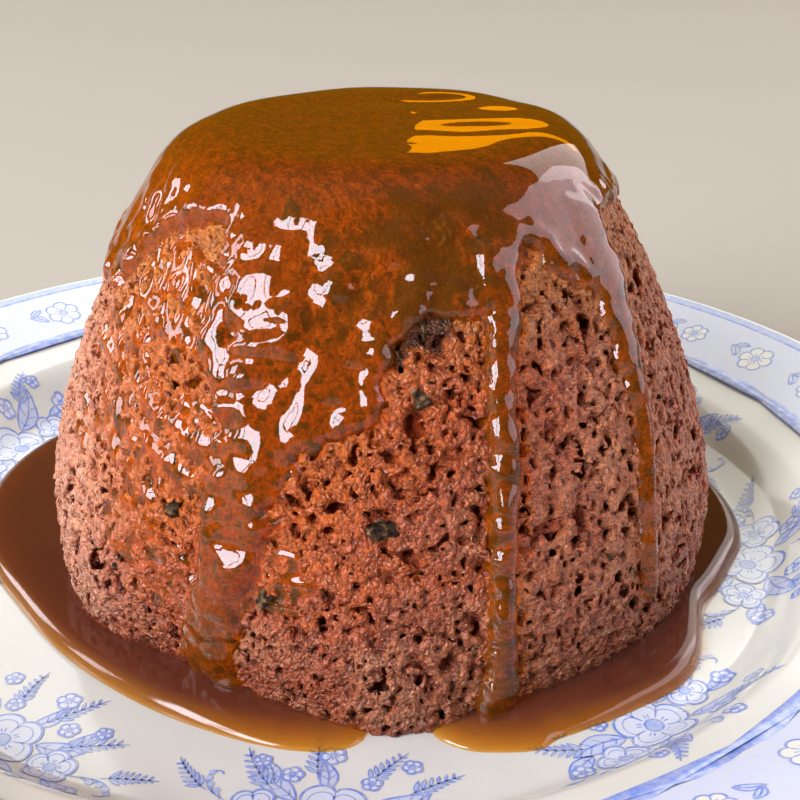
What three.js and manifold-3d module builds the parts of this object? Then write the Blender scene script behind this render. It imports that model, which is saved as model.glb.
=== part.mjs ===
// A steamed sponge pudding, turned out of its basin on to a small glazed plate and
// covered with toffee sauce that has run down its sides and pooled around it.
// Millimetres, +Z up. The origin is the middle of the plate's foot, on the table.
import * as THREE from 'three';
import { mergeVertices } from 'three/addons/utils/BufferGeometryUtils.js';
import Module from 'manifold-3d';

// ---- Driving dimensions ----

const PLATE = {
  radius: 86,          // outer edge of the rim
  wellRadius: 57.5,    // flat middle that the food stands on
  vergeWidth: 9,       // curved step from the well up to the rim
  vergeRise: 5.2,
  rimRise: 7.8,
  wellThickness: 3.8,
  rimThickness: 2.8,
  footRadius: 51,      // middle of the foot ring
  footWidth: 4.6,
  footHeight: 2.4,
  footBevel: 0.9,
  segments: 64,
};

// Gap that touching solids keep between them.
const GAP = 0.3;

const PUDDING = {
  x: 7,                // it stands a little off the plate's middle
  columns: 60,
  rows: 14,
};

// Half of the basin's outline, base to top: radius and height above the pudding's base.
const BASIN_OUTLINE = [
  [42.3, 0], [43.6, 10], [41.4, 22.5], [37.4, 34.5], [31.7, 46],
  [27.7, 52], [24.2, 55.7], [19.5, 57.2], [10, 57.4], [0, 57.2],
];

// Gentle waves all round: how many, how deep as a part of the radius, and their start.
const CRUMB_WAVES = [
  { count: 2, depth: 0.010, start: 0.6, climb: 0 },
  { count: 5, depth: 0.008, start: 1.9, climb: 1 / 14 },
  { count: 9, depth: 0.005, start: 0, climb: -1 / 7 },
];

// Local swells and dents of the base: direction, half width in degrees, height, depth.
const BASE_LUMPS = [
  { angle: -88, spread: 12, height: 7, depth: 3.2 },
  { angle: -124, spread: 17, height: 9, depth: -2.4 },
  { angle: -45, spread: 20, height: 8, depth: 0.9 },
];

const SAUCE_COAT = 1.0;

// Lower edge of the coat all round: direction and height above the pudding's base.
const COAT_EDGE = [
  [-180, 44], [-153, 38], [-137, 42], [-128, 50], [-121, 47], [-106, 31], [-97, 33],
  [-90, 38], [-86, 43], [-78, 46], [-62, 46], [-46, 47], [-28, 51], [0, 50],
  [30, 46], [55, 51], [85, 45], [110, 50], [140, 42], [180, 44],
];

// Runs down the sides: direction at the top and the foot, width at both, lowest height.
const RUNS = [
  { top: -112, foot: -118, wide: 10, narrow: 6.5, low: 3 },
  { top: -65, foot: -71, wide: 3.6, narrow: 3, low: 3 },
  { top: -38, foot: -41, wide: 4.6, narrow: 2.6, low: 9 },
  { top: 40, foot: 43, wide: 5, narrow: 3.4, low: 12 },
  { top: 95, foot: 92, wide: 7, narrow: 4.6, low: 3 },
  { top: 152, foot: 156, wide: 5.5, narrow: 4, low: 17 },
];
const RUN_TOP = 51;

const POOL = {
  depth: 2.3,          // above the well
  radius: 48.6,
  lip: 1.1,            // rounding of the free edge
  start: -81,          // the pool is open in front, where the crumb meets the bare plate
  end: 268,
  steps: 88,
};

// Wider and narrower stretches of the pool: direction, half width in degrees, depth.
const POOL_LOBES = [
  { angle: 158, spread: 30, depth: 10.5 },
  { angle: 6, spread: 17, depth: 2.2 },
  { angle: -24, spread: 9, depth: -3.2 },
  { angle: -58, spread: 17, depth: 1.4 },
  { angle: 232, spread: 26, depth: -1.6 },
];

// ---- Shared helpers ----

const { degToRad, euclideanModulo, lerp, smoothstep } = THREE.MathUtils;
const WELL_Z = PLATE.footHeight + PLATE.wellThickness;
const BASE_Z = WELL_Z + GAP;

const wasm = await Module();
wasm.setup();

// Point at a direction and a distance from the pudding's axis.
function around(angle, radius, z) {
  const a = degToRad(angle);
  return new THREE.Vector3(PUDDING.x + radius * Math.cos(a), radius * Math.sin(a), z);
}

// A swelling that is 1 in its own direction and dies out smoothly beside it.
function swell(lump, angle) {
  const off = euclideanModulo(angle - lump.angle + 180, 360) - 180;
  return Math.exp(-((off / lump.spread) ** 2));
}

// Closed skin over a row of equal loops, from a tip before the first to one after the last.
function loftLoops(firstTip, loops, lastTip) {
  const count = loops[0].length;
  const last = loops.length - 1;
  const points = [firstTip, ...loops.flat(), lastTip];
  const at = (loop, i) => 1 + loop * count + (i % count);
  const faces = [];
  for (let i = 0; i < count; i += 1) {
    faces.push(0, at(0, i + 1), at(0, i));
    for (let loop = 0; loop < last; loop += 1) {
      faces.push(at(loop, i), at(loop, i + 1), at(loop + 1, i + 1));
      faces.push(at(loop, i), at(loop + 1, i + 1), at(loop + 1, i));
    }
    faces.push(points.length - 1, at(last, i), at(last, i + 1));
  }
  return new THREE.BufferGeometry().setFromPoints(points).setIndex(faces);
}

function solidFrom(geometry) {
  const bare = geometry.clone();
  bare.deleteAttribute('normal');
  bare.deleteAttribute('uv');
  const merged = mergeVertices(bare);
  return new wasm.Manifold(new wasm.Mesh({
    numProp: 3,
    vertProperties: new Float32Array(merged.attributes.position.array),
    triVerts: new Uint32Array(merged.index.array),
  }));
}

function geometryFrom(solid) {
  const { vertProperties, triVerts } = solid.getMesh();
  const geometry = new THREE.BufferGeometry();
  geometry.setAttribute('position', new THREE.BufferAttribute(vertProperties, 3));
  geometry.setIndex(new THREE.BufferAttribute(triVerts, 1));
  return geometry;
}

function namedMesh(name, geometry, finish) {
  geometry.computeVertexNormals();
  const mesh = new THREE.Mesh(geometry, new THREE.MeshStandardMaterial(finish));
  mesh.name = name;
  return mesh;
}

// ---- Plate: glazed earthenware with a foot ring, a flat well, a verge and a rim ----

function plateTop(radius) {
  const { wellRadius, vergeWidth, vergeRise, rimRise } = PLATE;
  const rimStart = wellRadius + vergeWidth / 2;
  const verge = smoothstep(radius, wellRadius, wellRadius + vergeWidth);
  const rim = Math.max(0, (radius - rimStart) / (PLATE.radius - rimStart));
  return WELL_Z + vergeRise * verge + rimRise * rim;
}

function plateUnderside(radius) {
  const outward = smoothstep(radius, PLATE.wellRadius, PLATE.radius);
  return plateTop(radius) - lerp(PLATE.wellThickness, PLATE.rimThickness, outward);
}

function makePlate() {
  const { radius, wellRadius, vergeWidth, footHeight, footBevel } = PLATE;
  const footIn = PLATE.footRadius - PLATE.footWidth / 2;
  const footOut = PLATE.footRadius + PLATE.footWidth / 2;
  const midRim = radius - 10;
  const verges = [0, 0.25, 0.5, 0.75, 1].map((part) => wellRadius + part * vergeWidth);
  const profile = [
    [0, footHeight],
    [footIn - footBevel, footHeight],
    [footIn, 0],
    [footOut, 0],
    [footOut + footBevel, footHeight],
    ...[...verges, midRim, radius - 1.2].map((r) => [r, plateUnderside(r)]),
    [radius, plateTop(radius) - PLATE.rimThickness / 2],
    ...[radius - 0.8, midRim, ...verges.toReversed()].map((r) => [r, plateTop(r)]),
    [0, WELL_Z],
  ];
  const points = profile.map(([r, z]) => new THREE.Vector2(r, z));
  return new THREE.LatheGeometry(points, PLATE.segments).rotateX(Math.PI / 2);
}

// ---- Pudding: dark steamed sponge that keeps the basin's outline, a little uneven ----

const basin = new THREE.SplineCurve(BASIN_OUTLINE.map(([r, z]) => new THREE.Vector2(r, z)));

// Radius of the crumb in one direction, from the basin's radius at that height.
function crumbRadius(radius, angle, height) {
  let waves = 1;
  for (const { count, depth, start, climb } of CRUMB_WAVES) {
    waves += depth * Math.sin(count * degToRad(angle) + start + climb * height);
  }
  let lumps = 0;
  for (const lump of BASE_LUMPS) {
    lumps += lump.depth * swell(lump, angle) * Math.exp(-((height / lump.height) ** 2));
  }
  return radius * waves + lumps;
}

// Point of the skin at a part of the outline, 0 at the base and 1 on top, moved outwards.
function skinPoint(part, angle, offset) {
  const place = basin.getPoint(part);
  const along = basin.getTangent(part);
  const radius = Math.max(0, crumbRadius(place.x, angle, place.y) + offset * along.y);
  return around(angle, radius, BASE_Z + place.y - offset * along.x);
}

function puddingSkin(offset) {
  const loops = [];
  for (let row = 0; row < PUDDING.rows; row += 1) {
    const loop = [];
    for (let column = 0; column < PUDDING.columns; column += 1) {
      loop.push(skinPoint(row / PUDDING.rows, 360 * column / PUDDING.columns, offset));
    }
    loops.push(loop);
  }
  const top = basin.getPoint(1).y + offset;
  return loftLoops(around(0, 0, loops[0][0].z), loops, around(0, 0, BASE_Z + top));
}

// ---- Sauce over the pudding: a coat on the top with runs down the sides ----

function coatEdge(angle) {
  const next = COAT_EDGE.findIndex(([direction]) => direction > angle);
  const [fromAngle, fromHeight] = COAT_EDGE[next - 1];
  const [toAngle, toHeight] = COAT_EDGE[next];
  return lerp(fromHeight, toHeight, smoothstep(angle, fromAngle, toAngle));
}

// All the room above the coat's wavy edge.
function coatRegion() {
  const ceiling = WELL_Z + 80;
  const rings = [[4, coatEdge], [60, coatEdge], [60, () => 80]];
  const loops = rings.map(([radius, height]) => {
    const loop = [];
    for (let angle = -180; angle < 180; angle += 5) {
      loop.push(around(angle, radius, BASE_Z + height(angle)));
    }
    return loop;
  });
  return loftLoops(around(0, 0, BASE_Z + 40), loops, around(0, 0, ceiling));
}

// A run's outline, extruded from inside the pudding outwards in its own direction.
function runRegion({ top, foot, wide, narrow, low }) {
  const shift = 40 * degToRad(foot - top);
  const half = narrow / 2;
  const bend = lerp(RUN_TOP, low, 0.45);
  const shape = new THREE.Shape();
  shape.moveTo(-wide / 2, RUN_TOP);
  shape.bezierCurveTo(-wide / 2, bend, shift - half, bend, shift - half, low + half);
  shape.absarc(shift, low + half, half, Math.PI, 2 * Math.PI);
  shape.bezierCurveTo(shift + half, bend, wide / 2, bend, wide / 2, RUN_TOP);
  const prism = new THREE.ExtrudeGeometry(shape, {
    depth: 45,
    bevelEnabled: false,
    curveSegments: 5,
  });
  const outward = around(top, 1, 0).sub(around(0, 0, 0));
  const up = new THREE.Vector3(0, 0, 1);
  const sideways = new THREE.Vector3().crossVectors(up, outward);
  const turned = new THREE.Matrix4().makeBasis(sideways, up, outward);
  turned.setPosition(around(top, 15, BASE_Z));
  return prism.applyMatrix4(turned);
}

function makeSauceCoat() {
  let region = solidFrom(coatRegion());
  for (const run of RUNS) {
    region = region.add(solidFrom(runRegion(run)));
  }
  const outside = solidFrom(puddingSkin(GAP + SAUCE_COAT));
  const inside = solidFrom(puddingSkin(GAP));
  return geometryFrom(outside.subtract(inside).intersect(region));
}

// ---- Sauce on the plate: a shallow pool with a rounded edge, open at the front ----

function makeSaucePool() {
  const loops = [];
  const bottom = WELL_Z + GAP;
  const top = WELL_Z + POOL.depth;
  for (let step = 0; step <= POOL.steps; step += 1) {
    const angle = lerp(POOL.start, POOL.end, step / POOL.steps);
    const inner = crumbRadius(BASIN_OUTLINE[0][0] + 0.6, angle, 0) + GAP;
    let outer = POOL.radius;
    for (const lobe of POOL_LOBES) {
      outer += lobe.depth * swell(lobe, angle);
    }
    const fromEnd = Math.min(step, POOL.steps - step) / 2;
    const width = Math.max(outer - inner, 1.6) * Math.sqrt(Math.min(1, 0.35 + fromEnd / 3));
    const lip = Math.min(POOL.lip, width / 3);
    const section = [
      [inner, bottom], [inner, top], [inner + width - lip, top],
      [inner + width - lip * 0.4, top - 0.5], [inner + width, bottom + 0.6],
      [inner + width - lip, bottom],
    ];
    loops.push(section.map(([radius, z]) => around(angle, radius, z)));
  }
  const tips = [loops[0], loops.at(-1)].map((loop) => {
    const middle = loop.reduce((sum, point) => sum.add(point), new THREE.Vector3());
    return middle.divideScalar(loop.length);
  });
  return loftLoops(tips[0], loops, tips[1]);
}

// ---- The whole plateful ----

const plateful = new THREE.Group();
plateful.add(
  namedMesh('plate', makePlate(), { color: 0xe9e6dc, roughness: 0.15 }),
  namedMesh('pudding', puddingSkin(0), { color: 0xa05030, roughness: 0.85 }),
  namedMesh('sauce_coat', makeSauceCoat(), { color: 0x7a3f0c, roughness: 0.12 }),
  namedMesh('sauce_pool', makeSaucePool(), { color: 0x7a4a2c, roughness: 0.1 }),
);

export default plateful;
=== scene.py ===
# A steamed sponge pudding with toffee sauce, turned out on a small printed plate.
# Metres, +Z up; the frame gives the solids that every piece is fitted to.
import math

import bmesh
import bpy
import mathutils
import numpy as np
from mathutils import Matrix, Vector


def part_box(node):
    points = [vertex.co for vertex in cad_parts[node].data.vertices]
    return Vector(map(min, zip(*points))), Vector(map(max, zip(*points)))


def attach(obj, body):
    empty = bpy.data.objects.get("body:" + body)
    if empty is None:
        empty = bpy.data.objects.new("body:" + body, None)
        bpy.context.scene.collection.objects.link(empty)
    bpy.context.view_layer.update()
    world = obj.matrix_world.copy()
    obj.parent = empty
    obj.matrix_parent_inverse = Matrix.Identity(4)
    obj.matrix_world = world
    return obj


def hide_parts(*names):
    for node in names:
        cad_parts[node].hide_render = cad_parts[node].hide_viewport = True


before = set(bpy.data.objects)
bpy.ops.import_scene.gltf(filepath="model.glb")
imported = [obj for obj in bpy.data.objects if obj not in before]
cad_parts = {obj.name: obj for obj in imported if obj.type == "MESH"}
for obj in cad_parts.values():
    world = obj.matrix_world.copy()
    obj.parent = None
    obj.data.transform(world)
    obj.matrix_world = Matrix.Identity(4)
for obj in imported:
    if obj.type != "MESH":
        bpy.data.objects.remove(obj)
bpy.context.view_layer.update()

MM = 0.001

# ---------------------------------------------------------------------------
# Plate: white glazed earthenware, jiggered and fired, with a foot ring, a flat
# well, a curved verge and a sloping rim.
# ---------------------------------------------------------------------------

_, plate_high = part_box("plate")
PLATE_RADIUS = plate_high.x - 0.03 * MM
FOOT_HEIGHT = 2.4 * MM
WELL_THICKNESS = 3.8 * MM
RIM_THICKNESS = 2.8 * MM
WELL_RADIUS = 57.5 * MM
VERGE_WIDTH = 9 * MM
VERGE_RISE = 5.2 * MM
RIM_RISE = 7.8 * MM
FOOT_RADIUS = 51 * MM
FOOT_WIDTH = 4.6 * MM
WELL_Z = FOOT_HEIGHT + WELL_THICKNESS
PLATE_AROUND = 320
GLAZE_WHITE = "#cbccc1"


def smoothstep(low, high, x):
    t = np.clip((x - low) / (high - low), 0.0, 1.0)
    return t * t * (3.0 - 2.0 * t)


def plate_top(radius):
    rim_start = WELL_RADIUS + VERGE_WIDTH / 2
    verge = smoothstep(WELL_RADIUS, WELL_RADIUS + VERGE_WIDTH, radius)
    rim = np.maximum(0.0, radius - rim_start) / (PLATE_RADIUS - rim_start)
    return WELL_Z + VERGE_RISE * verge + RIM_RISE * rim


def plate_underside(radius):
    outward = smoothstep(WELL_RADIUS, PLATE_RADIUS, radius)
    return plate_top(radius) - WELL_THICKNESS - (RIM_THICKNESS - WELL_THICKNESS) * outward


def linear(hex_colour):
    """An sRGB hex colour as the linear colour that the shaders take."""
    parts = [int(hex_colour[i:i + 2], 16) / 255 for i in (1, 3, 5)]
    return [p / 12.92 if p <= 0.04045 else ((p + 0.055) / 1.055) ** 2.4 for p in parts] + [1.0]


def add(tree, kind, *values, **settings):
    """Adds one node: a ShaderNode, unless its kind says which, with any operation after a dot.

    Inputs are set or linked in order, or by name from a dict. A node as an input stands for
    its first output in use. Settings are the node's properties.
    """
    kind, _, operation = kind.partition(".")
    node = tree.nodes.new(kind if "Node" in kind else "ShaderNode" + kind)
    if operation:
        node.operation = operation
    for name, value in settings.items():
        setattr(node, name, value)
    if values and isinstance(values[0], dict):
        pairs = [(node.inputs[name], value) for name, value in values[0].items()]
    else:
        pairs = zip([socket for socket in node.inputs if socket.enabled], values)
    for socket, value in pairs:
        if isinstance(value, bpy.types.Node):
            value = next(output for output in value.outputs if output.enabled)
        if isinstance(value, bpy.types.NodeSocket):
            tree.links.new(value, socket)
        else:
            socket.default_value = value
    return node


def ramp_stops(node, stops):
    """Gives a colour ramp its stops: (place, hex colour)."""
    elements = node.color_ramp.elements
    while len(elements) < len(stops):
        elements.new(0.5)
    for element, (place, colour) in zip(elements, stops):
        element.position = place
        element.color = linear(colour)
    return node


def new_material(name):
    material = bpy.data.materials.new(name)
    material.use_nodes = True
    material.node_tree.nodes.clear()
    return material, material.node_tree


def mesh_piece(name, points, faces, material):
    mesh = bpy.data.meshes.new(name)
    mesh.from_pydata([tuple(p) for p in points], [], faces)
    mesh.validate()
    mesh.shade_smooth()
    mesh.materials.append(material)
    piece = bpy.data.objects.new(name, mesh)
    bpy.context.scene.collection.objects.link(piece)
    return piece


def glaze_material():
    # Clear lead-free glaze on a cream white body: mirror-like, with a very slight orange peel.
    material, tree = new_material("glazed_earthenware")
    coords = add(tree, "TexCoord").outputs["Object"]
    cloud = add(tree, "TexNoise", {"Vector": coords, "Scale": 1 / (14 * MM), "Detail": 2.0})
    colour = ramp_stops(add(tree, "ValToRGB", {"Fac": cloud.outputs["Fac"]}),
                        [(0.3, GLAZE_WHITE), (0.7, "#d2d3c9")])
    peel = add(tree, "TexNoise", {"Vector": coords, "Scale": 1 / (2.2 * MM), "Detail": 1.0})
    bump = add(tree, "Bump", {"Height": peel.outputs["Fac"], "Strength": 0.04,
                              "Distance": 0.1 * MM})
    shader = add(tree, "BsdfPrincipled",
                 {"Base Color": colour.outputs["Color"], "Roughness": 0.12, "IOR": 1.5,
                  "Normal": bump.outputs["Normal"]})
    add(tree, "OutputMaterial", {"Surface": shader.outputs["BSDF"]})
    return material


def lathe(profile, around):
    """Points and faces of a profile of (radius, z), turned about Z, closed on the axis."""
    profile = np.asarray(profile, float)
    angles = np.arange(around) * 2 * math.pi / around
    inner = profile[1:-1]
    rings = np.stack([inner[:, None, 0] * np.cos(angles), inner[:, None, 0] * np.sin(angles),
                      np.repeat(inner[:, 1:], around, 1)], -1).reshape(-1, 3)
    points = np.vstack([[[0, 0, profile[0, 1]]], rings, [[0, 0, profile[-1, 1]]]])
    faces = []
    last = len(points) - 1
    for i in range(around):
        j = (i + 1) % around
        faces.append((0, 1 + j, 1 + i))
        for k in range(len(inner) - 1):
            a = 1 + k * around
            b = a + around
            faces.append((a + i, a + j, b + j, b + i))
        top = 1 + (len(inner) - 1) * around
        faces.append((last, top + i, top + j))
    return points, faces


def plate_profile():
    foot_in = FOOT_RADIUS - FOOT_WIDTH / 2
    foot_out = FOOT_RADIUS + FOOT_WIDTH / 2
    profile = [(0, FOOT_HEIGHT), (20 * MM, FOOT_HEIGHT), (foot_in - 1.4 * MM, FOOT_HEIGHT),
               (foot_in - 0.6 * MM, FOOT_HEIGHT - 0.5 * MM), (foot_in, 0.3 * MM),
               (foot_in + 0.5 * MM, 0), (foot_out - 0.5 * MM, 0), (foot_out, 0.3 * MM),
               (foot_out + 0.6 * MM, FOOT_HEIGHT - 0.5 * MM)]
    under = np.linspace(foot_out + 1.6 * MM, PLATE_RADIUS - 1.6 * MM, 22)
    profile += [(r, plate_underside(r)) for r in under]
    edge_z = (plate_top(PLATE_RADIUS) + plate_underside(PLATE_RADIUS)) / 2
    half = RIM_THICKNESS / 2
    for step in range(1, 12):
        turn = -math.pi / 2 + math.pi * step / 12
        profile.append((PLATE_RADIUS - half + half * math.cos(turn),
                        edge_z - 0.35 * MM + half * math.sin(turn)))
    over = np.linspace(PLATE_RADIUS - 1.6 * MM, WELL_RADIUS - 2 * MM, 80)
    profile += [(r, plate_top(r)) for r in over]
    return profile + [(30 * MM, WELL_Z), (0, WELL_Z)]


plate_points, plate_faces = lathe(plate_profile(), PLATE_AROUND)
plate = mesh_piece("printed_plate", plate_points, plate_faces, glaze_material())
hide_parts("plate")
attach(plate, "root")

# ---------------------------------------------------------------------------
# Print: a blue flower transfer under the glaze, of washes and engraved lines. Sprays
# stand round the edge of the well, and a scalloped band of small flowers fills the rim.
# ---------------------------------------------------------------------------

LAYER_LIFT = 0.007 * MM      # in one motif: washes first, then lines, then spots on top
MOTIF_LIFT = 0.006 * MM      # from one motif to the next that lies over it
WASH_STEP = 0.6              # mm between the rings of points in a wash
SPRAYS = 9
SPRAY_RADIUS = 57.0
BAND_INNER, BAND_OUTER = 71.4, 83.2
RIM_FLOWERS = 36
INKS = {"pale": "#c9d1e0", "wash": "#b4c0dc", "band": "#bcc5da", "deep": "#98abd6",
        "line": "#6c86cc", "cream": "#d6d6ca"}
ink_points, ink_faces, ink_colours = [], [], []


def lay(places, ink, over, layer):
    """Adds points at (turn in radians, radius in mm), laid just over the glaze."""
    turn, radius = places[:, 0], places[:, 1] * MM
    height = plate_top(radius) + LAYER_LIFT * (layer + 1) + MOTIF_LIFT * over
    ink_points.extend(np.stack([radius * np.cos(turn), radius * np.sin(turn), height], -1))
    ink_colours.extend([linear(INKS[ink])] * len(places))


def bent_round(shape, at):
    """Turns a motif in mm, scales and sets it at a direction, a radius, a turn and a size."""
    direction, radius, turn, size, _ = at
    c, s = math.cos(math.radians(turn)) * size, math.sin(math.radians(turn)) * size
    x = shape[:, 0] * c - shape[:, 1] * s
    y = shape[:, 0] * s + shape[:, 1] * c
    return np.stack([math.radians(direction) + x / radius, radius + y], -1)


def wash(shape, at, ink, layer):
    """A closed shape filled from its middle."""
    middle = shape.mean(0, keepdims=True)
    reach = np.linalg.norm(shape - middle, axis=1).max() * at[3]
    rings = math.ceil(reach / WASH_STEP)
    grown = [middle + (shape - middle) * k / rings for k in range(1, rings + 1)]
    first, count = len(ink_points), len(shape)
    lay(bent_round(np.vstack([middle] + grown), at), ink, at[4], layer)
    for i in range(count):
        j = (i + 1) % count
        ink_faces.append((first, first + 1 + i, first + 1 + j))
        for ring in range(rings - 1):
            a = first + 1 + ring * count
            ink_faces.append((a + i, a + count + i, a + count + j, a + j))


def line(shape, at, width, ink="line", layer=3, closed=False, taper=True):
    """An engraved line: a ribbon along the shape, thinner at its ends."""
    way = np.gradient(shape, axis=0)
    if closed:
        way = np.roll(shape, -1, 0) - np.roll(shape, 1, 0)
    side = np.stack([-way[:, 1], way[:, 0]], -1)
    side /= np.linalg.norm(side, axis=1, keepdims=True) + 1e-9
    t = np.linspace(0, 1, len(shape))
    half = width / 2 / at[3] * np.ones(len(shape))
    if taper and not closed:
        half *= np.sqrt(np.clip(np.sin(math.pi * (0.06 + 0.88 * t)), 0.05, 1))
    ribbon = np.stack([shape + side * half[:, None], shape - side * half[:, None]], 1)
    first = len(ink_points)
    lay(bent_round(ribbon.reshape(-1, 2), at), ink, at[4], layer)
    for i in range(len(shape) if closed else len(shape) - 1):
        j = (i + 1) % len(shape)
        a, b = first + 2 * i, first + 2 * j
        ink_faces.append((a, a + 1, b + 1, b))


def petal_ring(petals, size, notch, count):
    turn = np.linspace(0, 2 * math.pi, count, endpoint=False)
    radius = size * (1 - notch + notch * np.abs(np.cos(petals * turn / 2)) ** 0.6)
    return np.stack([radius * np.cos(turn), radius * np.sin(turn)], -1)


def flower(at, petals, size, fine, ground="pale"):
    wash(petal_ring(petals, size, 0.26, 40), at, ground, 2)
    line(petal_ring(petals, size, 0.26, 60), at, 0.34, closed=True)
    if fine:
        line(petal_ring(petals, size * 0.78, 0.3, 50), at, 0.16, closed=True)
    for k in range(petals):
        notch = (2 * k + 1) * math.pi / petals
        way = np.array([math.cos(notch), math.sin(notch)])
        line(np.outer(np.linspace(0.3, 0.72, 5) * size, way), at, 0.26)
        for off in (-0.13, 0.13) if fine else (0.0,):
            a = 2 * k * math.pi / petals + off
            way = np.array([math.cos(a), math.sin(a)])
            reach = 0.52 - abs(off) * 0.5
            line(np.outer(np.linspace(0.3, reach, 5) * size, way), at, 0.2)
    wash(petal_ring(8, size * 0.24, 0.1, 16), at, "deep", 3)
    line(petal_ring(8, size * 0.24, 0.15, 24), at, 0.24, closed=True, layer=4)


def leaf(at, length, veins):
    t = np.linspace(0, 1, 13)
    half = 0.23 * length * np.sin(math.pi * t) ** 0.75 * (1 - 0.25 * t)
    bow = 0.1 * length * np.sin(math.pi * t)
    edge = np.stack([np.concatenate([t, t[::-1][1:-1]]) * length,
                     np.concatenate([bow + half, (bow - half)[::-1][1:-1]])], -1)
    wash(edge, at, "wash", 1)
    line(edge, at, 0.26, closed=True)
    spine = np.stack([t * length, bow], -1)
    line(spine, at, 0.28)
    for k in range(veins):
        root = 0.16 + 0.66 * k / max(1, veins - 1)
        reach = 0.17 * length * math.sin(math.pi * root) ** 0.75
        for side in (-1, 1):
            tip = np.array([root * length + reach * 0.9,
                            0.1 * length * math.sin(math.pi * root) + side * reach])
            base = np.array([root * length, 0.1 * length * math.sin(math.pi * root)])
            line(base + np.outer(np.linspace(0, 1, 4), tip - base), at, 0.17)


def tendril(at, length, curl):
    t = np.linspace(0, 1, 26)
    heading = curl * t ** 2.2 * 7.5
    steps = np.stack([np.cos(heading), np.sin(heading)], -1) * length / 26 * (1.5 - t)[:, None]
    path = np.cumsum(steps, axis=0)
    line(path, at, 0.24)
    for k in range(3, 15, 3):
        heading_here = heading[k] + curl * 0.9
        tip = path[k] + 0.16 * length * np.array([math.cos(heading_here), math.sin(heading_here)])
        line(path[k] + np.outer(np.linspace(0, 1, 5), tip - path[k]), at, 0.22)
        small = petal_ring(5, 0.055 * length, 0.2, 10) + tip
        wash(small, at, "deep", 4)


def fern(at, length, pairs):
    """A curved stalk with narrow leaflets in pairs, smaller towards its tip."""
    t = np.linspace(0, 1, 20)
    stalk = np.stack([t * length, 0.16 * length * t ** 2], -1)
    line(stalk, at, 0.26)
    for k in range(pairs):
        root = 0.14 + 0.8 * k / pairs
        base = np.array([root * length, 0.16 * length * root ** 2])
        reach = 0.3 * length * (1 - 0.72 * root)
        for side in (-1, 1):
            way = np.array([math.cos(0.75), side * math.sin(0.75)])
            across = np.array([-way[1], way[0]])
            u = np.linspace(0, 1, 7)
            bulge = 0.13 * reach * np.sin(math.pi * u)
            there = base + np.outer(u * reach, way) + np.outer(bulge, across)
            back = base + np.outer(u[::-1] * reach, way) - np.outer(bulge, across)
            leaflet = np.vstack([there, back[1:-1]])
            wash(leaflet, at, "deep", 1)
            line(leaflet, at, 0.14, closed=True)


def spray(direction, radius, turn, size, mirrored):
    """One bouquet: leaves, ferns and tendrils, and over them small flowers and three big ones."""
    def at(over, x, y, own_turn):
        x = -x if mirrored else x
        c, s = math.cos(math.radians(turn)) * size, math.sin(math.radians(turn)) * size
        return (direction + math.degrees((x * c - y * s) / radius), radius + x * s + y * c,
                turn + (180 - own_turn if mirrored else own_turn), size, over)
    leaves = ((3.2, 2.6, 35, 6.4), (-2.8, 3.2, 130, 6.0), (3.6, -1.6, -25, 6.0),
              (-3.6, -1.2, 195, 6.6), (0.8, -3.2, -80, 4.6), (8.6, 2.4, 10, 5.0),
              (-8.4, -1.8, 160, 4.8), (6.4, -3.4, -60, 3.8))
    for k, (x, y, way, length) in enumerate(leaves):
        leaf(at(k % 3, x, y, way), length, 4)
    ferns = ((1.8, -4.8, -75, 7.0), (-3.4, -4.4, -125, 6.6), (6.2, -2.6, -40, 7.2),
             (-7.6, -2.8, -150, 6.6), (5.4, 4.6, 50, 6.4), (-5.8, 4.8, 125, 6.2),
             (13.0, -0.8, -25, 6.0), (-12.4, 0.8, 165, 6.0))
    for k, (x, y, way, length) in enumerate(ferns):
        fern(at(3 + k % 3, x, y, way), length, 6)
    tendril(at(6, 9.4, 0.4, -18), 8.0, 0.55)
    tendril(at(6, -9.2, 1.4, 172), 7.4, -0.6)
    tendril(at(6, -1.4, 4.6, 75), 5.6, 0.7)
    for x, y, s in ((3.6, 5.6, 1.2), (-5.0, 5.0, 1.1), (11.6, 3.2, 1.3), (4.8, -5.2, 1.1),
                    (-11.2, -0.6, 1.2), (-4.0, -4.6, 1.0), (0.6, -8.6, 1.3), (8.8, -6.6, 0.9),
                    (-8.6, -7.0, 1.0), (0.2, 8.2, 1.1), (9.6, 6.8, 0.9), (-9.4, 6.6, 0.9)):
        flower(at(7, x, y, 25 * x), 5, s, False)
    flower(at(8, 0, 0, 12), 5, 4.3, True)
    flower(at(9, 7.4, 0.2, 40), 5, 2.7, True)
    flower(at(9, -7.0, 1.2, 70), 5, 2.9, True)


for k in range(SPRAYS):
    spray(-128 + 360 / SPRAYS * k, SPRAY_RADIUS, 10 * math.sin(2.3 * k), 1.08, k % 2 == 1)
around = np.radians(np.arange(0, 360, 1.0))
scallops = BAND_INNER + 1.2 * np.abs(np.sin(around * 12))
for first, last, ink in ((scallops, np.full(360, BAND_OUTER), "band"),
                         (np.full(360, BAND_OUTER + 0.2), np.full(360, BAND_OUTER + 1.4), "deep")):
    start = len(ink_points)
    for share in np.linspace(0, 1, 5):
        lay(np.stack([around, first + (last - first) * share], -1), ink, 0, 1)
    for row in range(4):
        for i in range(360):
            a, b = start + row * 360 + i, start + row * 360 + (i + 1) % 360
            ink_faces.append((a, a + 360, b + 360, b))
whole = (0, 1.0, 0, 1.0, 0)
for radius, width in ((scallops, 0.4), (scallops - 0.9, 0.2), (np.full(360, BAND_OUTER), 0.35)):
    ring = np.stack([around, radius - 1], -1)
    line(ring, whole, width, closed=True)
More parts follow.
